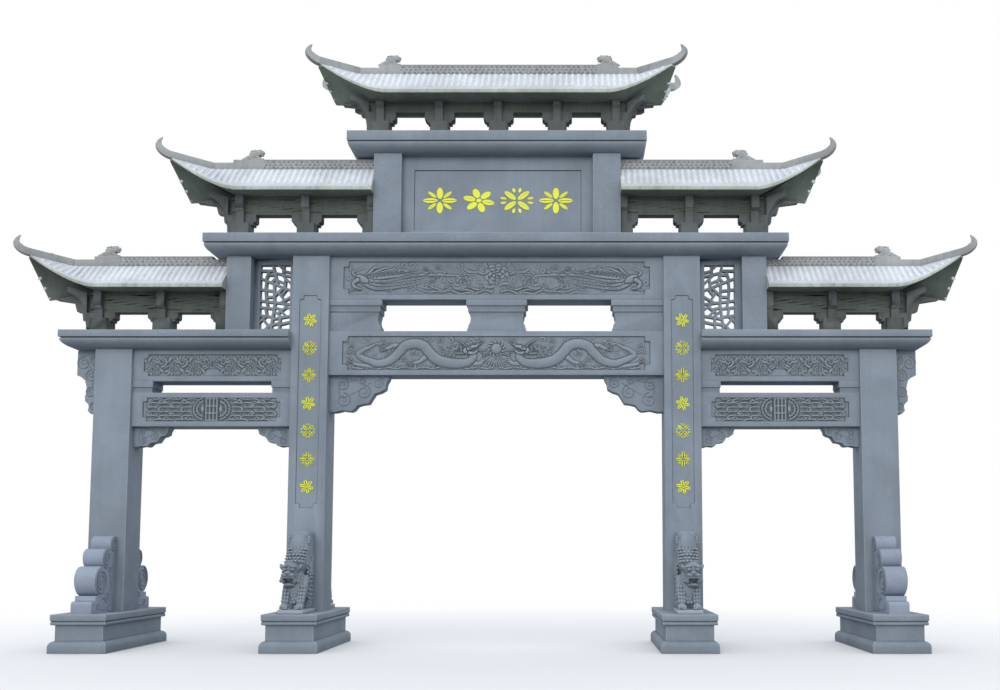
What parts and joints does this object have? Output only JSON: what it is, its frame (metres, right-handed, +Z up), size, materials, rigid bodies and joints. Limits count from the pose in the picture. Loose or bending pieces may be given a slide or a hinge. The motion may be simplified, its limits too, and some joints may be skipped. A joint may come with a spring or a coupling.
{
  "type": "stone paifang",
  "caption": "Free-standing stone memorial gateway with carved beams, cornices, lattice panels, bracketed hipped tile roofs with upturned corners, plinths, lions and drum stones.",
  "frame": {"origin": "on the ground, midway along and midway through the gateway", "axes": "+X along the gateway to the right, +Y through it away from the front, +Z up"},
  "size_m": [15.6668, 2.5, 9.967],
  "materials": {
    "grey_stone": "fine-pointed blue-grey granite, matt",
    "soffit_stone": "blue-grey granite darkened by damp, matt",
    "tile_stone": "pale weathered stone tiles, matt",
    "ridge_stone": "light grey carved stone, matt"
  },
  "bodies": {
    "root": {"plinth_outer_left": "grey_stone", "plinth_outer_right": "grey_stone", "plinth_inner_left": "grey_stone", "plinth_inner_right": "grey_stone", "column_outer_left": "grey_stone", "column_outer_right": "grey_stone", "column_inner_left": "grey_stone", "column_inner_right": "grey_stone", "drum_stones": "grey_stone", "lions": "grey_stone", "side_beams_lower": "grey_stone", "side_beams_upper": "grey_stone", "side_beam_blocks": "grey_stone", "side_corner_brackets": "grey_stone", "end_corner_brackets": "grey_stone", "side_cornices": "grey_stone", "central_beam_lower": "grey_stone", "central_beam_upper": "grey_stone", "central_beam_blocks": "grey_stone", "central_corner_brackets": "grey_stone", "lattice_left": "grey_stone", "lattice_right": "grey_stone", "short_posts": "grey_stone", "middle_cornice": "grey_stone", "plaque_posts": "grey_stone", "plaque_panel": "grey_stone", "top_cornice": "grey_stone", "roof_brackets_lower": "soffit_stone", "roof_brackets_middle": "soffit_stone", "roof_brackets_top": "soffit_stone", "frieze_lower": "soffit_stone", "frieze_middle": "soffit_stone", "frieze_top": "soffit_stone", "roof_lower_left": "tile_stone", "roof_lower_right": "tile_stone", "roof_middle_left": "tile_stone", "roof_middle_right": "tile_stone", "roof_top": "tile_stone", "ridge_lower": "ridge_stone", "ridge_middle": "ridge_stone", "ridge_top": "ridge_stone", "hip_ridges_lower": "ridge_stone", "hip_ridges_middle": "ridge_stone", "hip_ridges_top": "ridge_stone", "ridge_beasts": "ridge_stone"}
  },
  "joints": []
}
